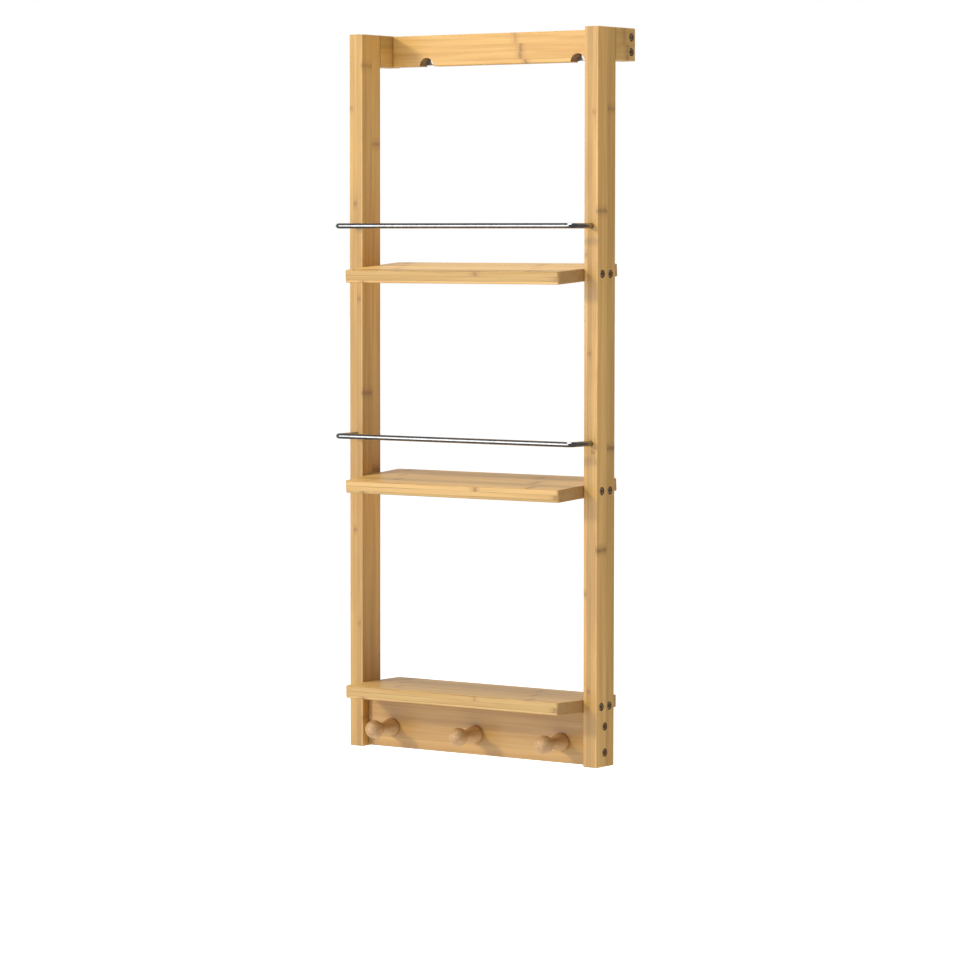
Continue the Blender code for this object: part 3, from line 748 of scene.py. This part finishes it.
SHELF_BAMBOO = laminated_bamboo("shelf_bamboo", SHELF_LIGHT, SHELF_DEEP)
low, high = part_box("lower_shelf")
front_screw_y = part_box("lower_shelf_right_front_screw")[0].y
back_screw_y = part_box("lower_shelf_right_back_screw")[1].y
pivot_y = (front_screw_y + back_screw_y) / 2
front, back = low.y - pivot_y, high.y - pivot_y
post_line = post_face - pivot_y
corners = [
    (low.x, back),
    (low.x, post_line),
    (low.x + SHELF_CORNER_INSET, front),
    (high.x - SHELF_CORNER_INSET, front),
    (high.x, post_line),
    (high.x, back),
]
outline = rounded_outline(corners, SHELF_CORNER_RADIUS)
thickness = high.z - low.z
for level, pitch, stock in (
    ("upper", SHELF_PITCH, 0), ("middle", SHELF_PITCH, 7), ("lower", 0.0, 12),
):
    screws = [
        f"{level}_shelf_{side}_{place}_screw"
        for side in SIDES for place in ("front", "back")
    ]
    screw_low, screw_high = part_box(screws[0])
    pivot = Vector((0, pivot_y, (screw_low.z + screw_high.z) / 2))
    tip = Matrix.Rotation(pitch, 4, "X")
    mesh = sheet_mesh(level + "_board", outline, thickness, ARRIS, Matrix.Translation(pivot) @ tip)
    shelf = new_piece(level + "_board", mesh)
    carve(shelf, [side_screw_hole(node) for node in screws])
    across, through = tip @ Y, tip @ Z
    seams = (0.0355 - pivot.dot(across), 0.0038 + stock * PLY - pivot.dot(through))
    node_point = pivot + Vector((-0.084, 0, 0)) - 0.029 * across + 0.0064 * through
    lay_grain(shelf, X, across, through, seams, 0.525, node_point, bores=False)
    fit_up(shelf, "shelf_bamboo", SHELF_BAMBOO, level + "_shelf")


# Guard rails
# One polished steel rod for each of the two upper shelves, bent square at both ends. The ends
# are pushed into blind holes in the posts' front faces.

RAIL_BEND_RADIUS = 0.006
STEEL_DARK = (0.320, 0.320, 0.325, 1)
STEEL_LIGHT = (0.400, 0.400, 0.405, 1)


def new_growth(name, sizes, material):
    """A geometry tree with its sizes as named inputs; returns it, those inputs and its end."""
    tree = bpy.data.node_groups.new(name, "GeometryNodeTree")
    tree.interface.new_socket("Geometry", in_out="INPUT", socket_type="NodeSocketGeometry")
    for label in sizes:
        tree.interface.new_socket(label, in_out="INPUT", socket_type="NodeSocketFloat")
    tree.interface.new_socket(material, in_out="INPUT", socket_type="NodeSocketMaterial")
    tree.interface.new_socket("Geometry", in_out="OUTPUT", socket_type="NodeSocketGeometry")
    given = tree.nodes.new("NodeGroupInput").outputs
    end = tree.nodes.new("NodeGroupOutput").inputs["Geometry"]
    return tree, given, end


def close_growth(tree, geometry, material, end):
    """Ends a tree with real, smooth meshes in one material."""
    real = put(tree, "GeometryNodeRealizeInstances", {"Geometry": geometry}).outputs[0]
    smooth = put(tree, "GeometryNodeSetShadeSmooth", {"Geometry": real}).outputs[0]
    painted = put(tree, "GeometryNodeSetMaterial", {"Geometry": smooth, "Material": material})
    tree.links.new(painted.outputs[0], end)


def grow(name, tree, seed_mesh, sizes):
    """Runs a tree on a seed mesh and returns the result as a plain piece."""
    seed = new_piece(name + "_seed", seed_mesh)
    modifier = seed.modifiers.new("growth", "NODES")
    modifier.node_group = tree
    for item in tree.interface.items_tree:
        if item.in_out == "INPUT" and item.name in sizes:
            modifier[item.identifier] = sizes[item.name]
    bpy.context.view_layer.update()
    evaluated = seed.evaluated_get(bpy.context.evaluated_depsgraph_get())
    mesh = bpy.data.meshes.new_from_object(evaluated)
    bpy.data.objects.remove(seed)
    return new_piece(name, mesh)


def polished_rod():
    """Bright stainless steel with the faint rings that polishing leaves."""
    material, tree, shader = new_material("polished_rod")
    place = put(tree, "ShaderNodeTexCoord").outputs["Object"]
    ring = noise(tree, stretched(tree, place, (900, 300, 300)), 1.0, 3.0)
    cloud = noise(tree, place, 160.0)
    colour = mingle(tree, ease(tree, cloud, 0.3, 0.7), STEEL_DARK, STEEL_LIGHT)
    tree.links.new(colour, shader.inputs["Base Color"])
    rough = reckon(tree, "MULTIPLY_ADD", cloud, 0.05, 0.12)
    rough = reckon(tree, "MULTIPLY_ADD", ring, 0.03, rough)
    tree.links.new(rough, shader.inputs["Roughness"])
    shader.inputs["Metallic"].default_value = 1.0
    return material


rail_tree, given, end = new_growth("bent_rod", ("Rod Radius", "Bend Radius"), "Steel")
route = put(rail_tree, "GeometryNodeMeshToCurve", {"Mesh": given["Geometry"]}).outputs["Curve"]
bends = put(
    rail_tree, "GeometryNodeFilletCurve",
    {"Curve": route, "Count": 14, "Radius": given["Bend Radius"]}, mode="POLY",
).outputs["Curve"]
section = put(
    rail_tree, "GeometryNodeCurvePrimitiveCircle",
    {"Resolution": 40, "Radius": given["Rod Radius"]},
).outputs["Curve"]
rod = put(
    rail_tree, "GeometryNodeCurveToMesh",
    {"Curve": bends, "Profile Curve": section, "Fill Caps": True},
).outputs["Mesh"]
close_growth(rail_tree, rod, given["Steel"], end)

POLISHED_STEEL = polished_rod()
for level in ("upper", "middle"):
    low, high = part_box(level + "_rail")
    rod_y = low.y + ROD_RADIUS
    left_x, right_x = low.x + ROD_RADIUS, high.x - ROD_RADIUS
    z = rail_seats[level]
    route_mesh = bpy.data.meshes.new(level + "_route")
    stations = [(left_x, high.y, z), (left_x, rod_y, z), (right_x, rod_y, z), (right_x, high.y, z)]
    route_mesh.from_pydata(stations, [(0, 1), (1, 2), (2, 3)], [])
    sizes = {"Rod Radius": ROD_RADIUS, "Bend Radius": RAIL_BEND_RADIUS, "Steel": POLISHED_STEEL}
    rail = grow(level + "_guard_rail", rail_tree, route_mesh, sizes)
    fit_up(rail, "polished_steel", POLISHED_STEEL, level + "_rail")


# Peg rail
# A bamboo board on edge under the lowest shelf, set back between the posts' feet. Two screws
# through each post hold it, and each peg's screw goes in from its back.

PEG_SCREW_HEAD = 0.0035
PEG_SCREW_SHANK = 0.00175
PEG_SCREW_LENGTH = 0.025
PEG_RAIL_LIGHT = (0.520, 0.298, 0.078, 1)
PEG_RAIL_DEEP = (0.440, 0.230, 0.050, 1)
PEGS = ("left", "middle", "right")

low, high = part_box("peg_rail")
peg_rail = new_piece("peg_board", block_mesh("peg_board", low, high, ARRIS))
cutters = [
    side_screw_hole(f"peg_rail_{side}_{place}_screw")
    for side in SIDES for place in ("upper", "lower")
]
for label in PEGS:
    seat = screw_seat(label + "_peg_screw", high.y)
    cutters.append(countersunk_hole(PEG_SCREW_HEAD, PEG_SCREW_SHANK, PEG_SCREW_LENGTH, seat))
carve(peg_rail, cutters)
lay_grain(peg_rail, X, Z, Y, (0.7312, 0.0597), 0.02, Vector((-0.139, -0.0574, -0.700)))
PEG_RAIL_BAMBOO = laminated_bamboo("peg_rail_bamboo", PEG_RAIL_LIGHT, PEG_RAIL_DEEP)
fit_up(peg_rail, "post_bamboo", PEG_RAIL_BAMBOO, "peg_rail")


# Pegs
# Turned from a pale close-grained wood and sanded: a ball on a waisted stem that flares to a
# base against the rail. A screw from the rail's back draws each one tight.

BALL_RADIUS = 0.0095
BALL_REACH = 0.0305                    # from the base to the ball's centre
WAIST_RADIUS = 0.0055
BASE_RADIUS = 0.0092
BASE_THICKNESS = 0.003
NECK = 0.001


def peg_profile():
    """(radius, height) points from the ball's crown to the base, which is at height 0."""
    ball_steps = 26
    waist_angle = math.pi - math.asin(WAIST_RADIUS / BALL_RADIUS)
    points = [(0.0, BALL_REACH + BALL_RADIUS)]
    for step in range(1, ball_steps + 1):
        angle = waist_angle * step / ball_steps
        height = BALL_REACH + BALL_RADIUS * math.cos(angle)
        points.append((BALL_RADIUS * math.sin(angle), height))
    stem_top = points[-1][1] - NECK
    flare_steps = 20
    for step in range(flare_steps + 1):
        part = step / flare_steps
        height = stem_top + (BASE_THICKNESS - stem_top) * part
        flare = (1 - math.cos(math.pi / 2 * part)) * (BASE_RADIUS - WAIST_RADIUS)
        points.append((WAIST_RADIUS + flare, height))
    rim = 0.0005
    for step in range(5):
        angle = math.pi / 2 * step / 4
        points.append((BASE_RADIUS - rim + rim * math.cos(angle), rim - rim * math.sin(angle)))
    points.append((0.0, 0.0))
    return points


def turned_wood(name, light, dark):
    """Fine straight grain along the peg, with short dark pores."""
    material, tree, shader = new_material(name)
    place = put(tree, "ShaderNodeTexCoord").outputs["Object"]

    def grain(along_size, across_size, detail):
        scaled = stretched(tree, place, (1 / across_size, 1 / along_size, 1 / across_size))
        return noise(tree, scaled, 1.0, detail, 0.55)

    bands = grain(0.05, 0.0035, 3.0)
    pores = ease(tree, grain(0.0022, 0.0003, 1.0), 0.60, 0.74)
    wood = mingle(tree, ease(tree, bands, 0.3, 0.7), light, dark)
    flecked = tuple(0.45 * share for share in dark[:3]) + (1,)
    wood = mingle(tree, reckon(tree, "MULTIPLY", pores, 0.5), wood, flecked)
    rough = reckon(tree, "MULTIPLY_ADD", bands, 0.16, 0.44)
    shader.inputs["Coat Weight"].default_value = 0.08
    shader.inputs["Coat Roughness"].default_value = 0.4
    relief = reckon(tree, "MULTIPLY", pores, -0.00004)
    relief = reckon(tree, "MULTIPLY_ADD", bands, 0.00003, relief)
    finish_surface(tree, shader, wood, rough, relief, 0.7)
    return material


PEG_WOOD = turned_wood("peg_wood", (0.600, 0.370, 0.170, 1), (0.490, 0.280, 0.115, 1))
for label in PEGS:
    low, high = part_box(label + "_peg")
    base = Matrix.Translation(((low.x + high.x) / 2, high.y, (low.z + high.z) / 2))
    peg_mesh = turned_mesh(label + "_ball_peg", peg_profile(), base @ FACING["front"], 64)
    peg = new_piece(label + "_ball_peg", peg_mesh)
    screw = label + "_peg_screw"
    seat = screw_seat(screw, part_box(screw)[1].y)
    carve(peg, [countersunk_hole(PEG_SCREW_HEAD, PEG_SCREW_SHANK, PEG_SCREW_LENGTH, seat)])
    fit_up(peg, "peg_wood", PEG_WOOD, label + "_peg")


# Dowels
# Plain beech pins, two across each joint of arm and post. They keep their modelled shape.

DOWEL_WOOD = turned_wood("dowel_wood", (0.640, 0.450, 0.250, 1), (0.540, 0.350, 0.180, 1))
for side in SIDES:
    for place in ("upper", "lower"):
        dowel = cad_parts[f"{side}_{place}_dowel"]
        dowel.data.materials.clear()
        dowel.data.materials.append(DOWEL_WOOD)


# Side screws
# Twenty connector screws with flat heads and hexagon sockets hold the boards' ends, ten on each
# side, below the surface in counterbores. They are plated a dark bronze with cloudy wear.

HEAD_RADIUS = 0.0038
HEAD_HEIGHT = 0.0022
HEAD_CHAMFER = 0.0004
SOCKET_RADIUS = 0.0019
SOCKET_DEPTH = 0.0013
THREAD_ROOT = 0.0017
THREAD_CREST = 0.0022
THREAD_PITCH = 0.0024
SCREW_LENGTH = 0.040
BRONZE_DARK = (0.45, 0.33, 0.20, 1)
BRONZE_WORN = (0.86, 0.69, 0.47, 1)


def bronze_plating():
    """Dark bronze with cloudy wear."""
    material, tree, shader = new_material("bronze_plating")
    place = put(tree, "ShaderNodeTexCoord").outputs["Object"]
    cloud = noise(tree, place, 700.0, 4.0)
    scratch = noise(tree, place, 3500.0)
    colour = mingle(tree, ease(tree, cloud, 0.35, 0.65), BRONZE_DARK, BRONZE_WORN)
    rough = reckon(tree, "MULTIPLY_ADD", scratch, 0.25, 0.22)
    shader.inputs["Metallic"].default_value = 1.0
    finish_surface(tree, shader, colour, rough, reckon(tree, "MULTIPLY", scratch, 0.00001), 0.6)
    return material


def facing_faces(tree, limit):
    """Selects the faces that look up their own Z, or down it for a negative limit."""
    normal = put(tree, "GeometryNodeInputNormal").outputs["Normal"]
    up = put(tree, "ShaderNodeSeparateXYZ", {0: normal}).outputs["Z"]
    side = "GREATER_THAN" if limit > 0 else "LESS_THAN"
    return put(tree, "FunctionNodeCompare", {0: up, 1: limit}, operation=side).outputs[0]


def narrowed(tree, mesh, limit, step, scale):
    """Draws an end face out by a step and scales it, which makes a chamfer or a point."""
    end_face = facing_faces(tree, limit)
    inputs = {"Mesh": mesh, "Selection": end_face, "Offset Scale": step, "Individual": False}
    drawn = put(tree, "GeometryNodeExtrudeMesh", inputs, mode="FACES")
    inputs = {"Geometry": drawn.outputs["Mesh"], "Selection": drawn.outputs["Top"], "Scale": scale}
    return put(tree, "GeometryNodeScaleElements", inputs).outputs["Geometry"]


def lifted(tree, geometry, height):
    offset = put(tree, "ShaderNodeCombineXYZ", {2: height}).outputs[0]
    inputs = {"Geometry": geometry, "Translation": offset}
    return put(tree, "GeometryNodeTransform", inputs).outputs[0]


def barrel(tree, sides, radius, depth):
    inputs = {"Vertices": sides, "Radius": radius, "Depth": depth}
    return put(tree, "GeometryNodeMeshCylinder", inputs, fill_type="NGON").outputs["Mesh"]


def threaded_shank(tree, given, top):
    """A shank with a point and a helical thread, from a height down to the screw's length."""
    length = given["Length"]
    point = reckon(tree, "MULTIPLY", given["Root Radius"], 2.0)
    body = reckon(tree, "SUBTRACT", reckon(tree, "ADD", length, top), point)
    shank = barrel(tree, 20, given["Root Radius"], body)
    shank = lifted(tree, shank, reckon(tree, "SUBTRACT", top, reckon(tree, "DIVIDE", body, 2.0)))
    shank = narrowed(tree, shank, -0.5, point, 0.12)
    turns = reckon(tree, "DIVIDE", body, given["Pitch"])
    turns = reckon(tree, "SUBTRACT", turns, 1.5)
    rise = reckon(tree, "MULTIPLY", turns, given["Pitch"])
    inputs = {
        "Resolution": 14, "Rotations": turns, "Start Radius": given["Root Radius"],
        "End Radius": given["Root Radius"], "Height": rise,
    }
    helix = put(tree, "GeometryNodeCurveSpiral", inputs).outputs["Curve"]
    ridge_size = reckon(tree, "SUBTRACT", given["Crest Radius"], given["Root Radius"])
    inputs = {"Resolution": 4, "Radius": ridge_size}
    ridge = put(tree, "GeometryNodeCurvePrimitiveCircle", inputs).outputs["Curve"]
    inputs = {"Curve": helix, "Profile Curve": ridge, "Fill Caps": True}
    thread = put(tree, "GeometryNodeCurveToMesh", inputs).outputs["Mesh"]
    thread = lifted(tree, thread, reckon(tree, "SUBTRACT", point, length))
    return shank, thread


def set_screws(tree, parts, given, end):
    """Sets one screw at each seed point, facing its way and turned by chance."""
    joined = tree.nodes.new("GeometryNodeJoinGeometry")
    for part in parts:
        tree.links.new(part, joined.inputs[0])
    way = put(tree, "GeometryNodeInputNamedAttribute", {"Name": "facing"}, data_type="FLOAT_VECTOR")
    way = way.outputs["Attribute"]
    aim = put(tree, "FunctionNodeAlignRotationToVector", {"Vector": way}, axis="Z")
    chance = put(tree, "FunctionNodeRandomValue", {"Seed": 4}, data_type="FLOAT")
    limits = [socket for socket in chance.inputs if socket.type == "VALUE"]
    limits[0].default_value, limits[1].default_value = 0.0, math.pi
    spin_value = next(s for s in chance.outputs if s.type == "VALUE")
    spin = put(tree, "FunctionNodeAxisAngleToRotation", {"Axis": (0, 0, 1), "Angle": spin_value})
    turned = put(
        tree, "FunctionNodeRotateRotation",
        {"Rotation": aim.outputs[0], "Rotate By": spin.outputs[0]}, rotation_space="LOCAL",
    )
    inputs = {
        "Points": given["Geometry"], "Instance": joined.outputs[0], "Rotation": turned.outputs[0],
    }
    placed = put(tree, "GeometryNodeInstanceOnPoints", inputs).outputs["Instances"]
    close_growth(tree, placed, given["Plating"], end)


def seed_points(name, seats):
    """One point for each (place, facing)."""
    mesh = bpy.data.meshes.new(name)
    mesh.from_pydata([place for place, way in seats], [], [])
    ways = mesh.attributes.new("facing", "FLOAT_VECTOR", "POINT")
    for item, (place, way) in zip(ways.data, seats):
        item.vector = way
    return mesh


side_tree, given, end = new_growth("side_screw", (
    "Head Radius", "Head Height", "Chamfer", "Socket Radius", "Socket Depth",
    "Root Radius", "Crest Radius", "Pitch", "Length",
), "Plating")
straight = reckon(side_tree, "SUBTRACT", given["Head Height"], given["Chamfer"])
head = barrel(side_tree, 40, given["Head Radius"], straight)
head = lifted(side_tree, head, reckon(side_tree, "DIVIDE", straight, 2.0))
head = narrowed(side_tree, head, 0.5, given["Chamfer"], 1 - HEAD_CHAMFER / HEAD_RADIUS)
twice_deep = reckon(side_tree, "MULTIPLY", given["Socket Depth"], 2.0)
hexagon = barrel(side_tree, 6, given["Socket Radius"], twice_deep)
hexagon = lifted(side_tree, hexagon, given["Head Height"])
head = put(
    side_tree, "GeometryNodeMeshBoolean", {"Mesh 1": head, "Mesh 2": hexagon},
    operation="DIFFERENCE",
).outputs["Mesh"]
shank, thread = threaded_shank(side_tree, given, 0.0003)
set_screws(side_tree, (head, shank, thread), given, end)

BRONZE = bronze_plating()
names = side_screws["left"] + side_screws["right"]
names += [f"{side}_arm_{place}_screw" for side in SIDES for place in ("upper", "lower")]
seats = []
for node in names:
    low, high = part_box(node)
    way = X if high.x > 0 else -X
    head_x = high.x - HEAD_HEIGHT if high.x > 0 else low.x + HEAD_HEIGHT
    seats.append(((head_x, (low.y + high.y) / 2, (low.z + high.z) / 2), way))
sizes = {
    "Head Radius": HEAD_RADIUS, "Head Height": HEAD_HEIGHT, "Chamfer": HEAD_CHAMFER,
    "Socket Radius": SOCKET_RADIUS, "Socket Depth": SOCKET_DEPTH, "Root Radius": THREAD_ROOT,
    "Crest Radius": THREAD_CREST, "Pitch": THREAD_PITCH, "Length": SCREW_LENGTH, "Plating": BRONZE,
}
side_set = grow("side_screw_set", side_tree, seed_points("side_seats", seats), sizes)
side_set.data.set_sharp_from_angle(angle=SHARP_ANGLE)
fit_up(side_set, "screw_steel", BRONZE, *names)


# Countersunk screws
# Small wood screws with a cross recess: two through each keyhole plate, and one larger one from
# the peg rail's back into each peg. They are plated like the side screws.

PLATE_SCREW_ROOT = 0.00115
PEG_SCREW_ROOT = 0.00145

sunk_tree, given, end = new_growth("sunk_screw", (
    "Head Radius", "Root Radius", "Crest Radius", "Pitch", "Length", "Recess",
), "Plating")
cone_depth = reckon(sunk_tree, "SUBTRACT", given["Head Radius"], given["Root Radius"])
cone = put(
    sunk_tree, "GeometryNodeMeshCone",
    {
        "Vertices": 40, "Radius Top": given["Root Radius"], "Radius Bottom": given["Head Radius"],
        "Depth": cone_depth,
    },
    fill_type="NGON",
).outputs["Mesh"]
cone = put(
    sunk_tree, "GeometryNodeTransform", {"Geometry": cone, "Rotation": (math.pi, 0, 0)},
).outputs[0]
for quarter in (0.0, math.pi / 2):
    deep = reckon(sunk_tree, "MULTIPLY", given["Recess"], 0.9)
    broad = reckon(sunk_tree, "MULTIPLY", given["Recess"], 0.34)
    long = reckon(sunk_tree, "MULTIPLY", given["Recess"], 2.0)
    size = put(sunk_tree, "ShaderNodeCombineXYZ", {0: long, 1: broad, 2: deep}).outputs[0]
    blade = put(sunk_tree, "GeometryNodeMeshCube", {"Size": size}).outputs["Mesh"]
    blade = put(
        sunk_tree, "GeometryNodeTransform", {"Geometry": blade, "Rotation": (0, 0, quarter)},
    ).outputs[0]
    cone = put(
        sunk_tree, "GeometryNodeMeshBoolean", {"Mesh 1": cone, "Mesh 2": blade},
        operation="DIFFERENCE",
    ).outputs["Mesh"]
shank, thread = threaded_shank(sunk_tree, given, reckon(sunk_tree, "MULTIPLY", cone_depth, -0.9))
set_screws(sunk_tree, (cone, shank, thread), given, end)

plate_screws = [
    f"{side}_plate_{place}_screw" for side in SIDES for place in ("inner", "outer")
]
for label, names, head_radius, root, crest, length in (
    (
        "plate_screw_set", plate_screws,
        PLATE_SCREW_HEAD, PLATE_SCREW_ROOT, PLATE_SCREW_SHANK, PLATE_SCREW_LENGTH,
    ),
    (
        "peg_screw_set", [name + "_peg_screw" for name in PEGS],
        PEG_SCREW_HEAD, PEG_SCREW_ROOT, PEG_SCREW_SHANK, PEG_SCREW_LENGTH,
    ),
):
    seats = []
    for node in names:
        low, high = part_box(node)
        seats.append((((low.x + high.x) / 2, high.y, (low.z + high.z) / 2), Y))
    sizes = {
        "Head Radius": head_radius, "Root Radius": root, "Crest Radius": crest,
        "Pitch": 4 * (crest - root), "Length": length, "Recess": 0.6 * head_radius,
        "Plating": BRONZE,
    }
    sunk_set = grow(label, sunk_tree, seed_points(label + "_seats", seats), sizes)
    sunk_set.data.set_sharp_from_angle(angle=SHARP_ANGLE)
    fit_up(sunk_set, "screw_steel", BRONZE, *names)
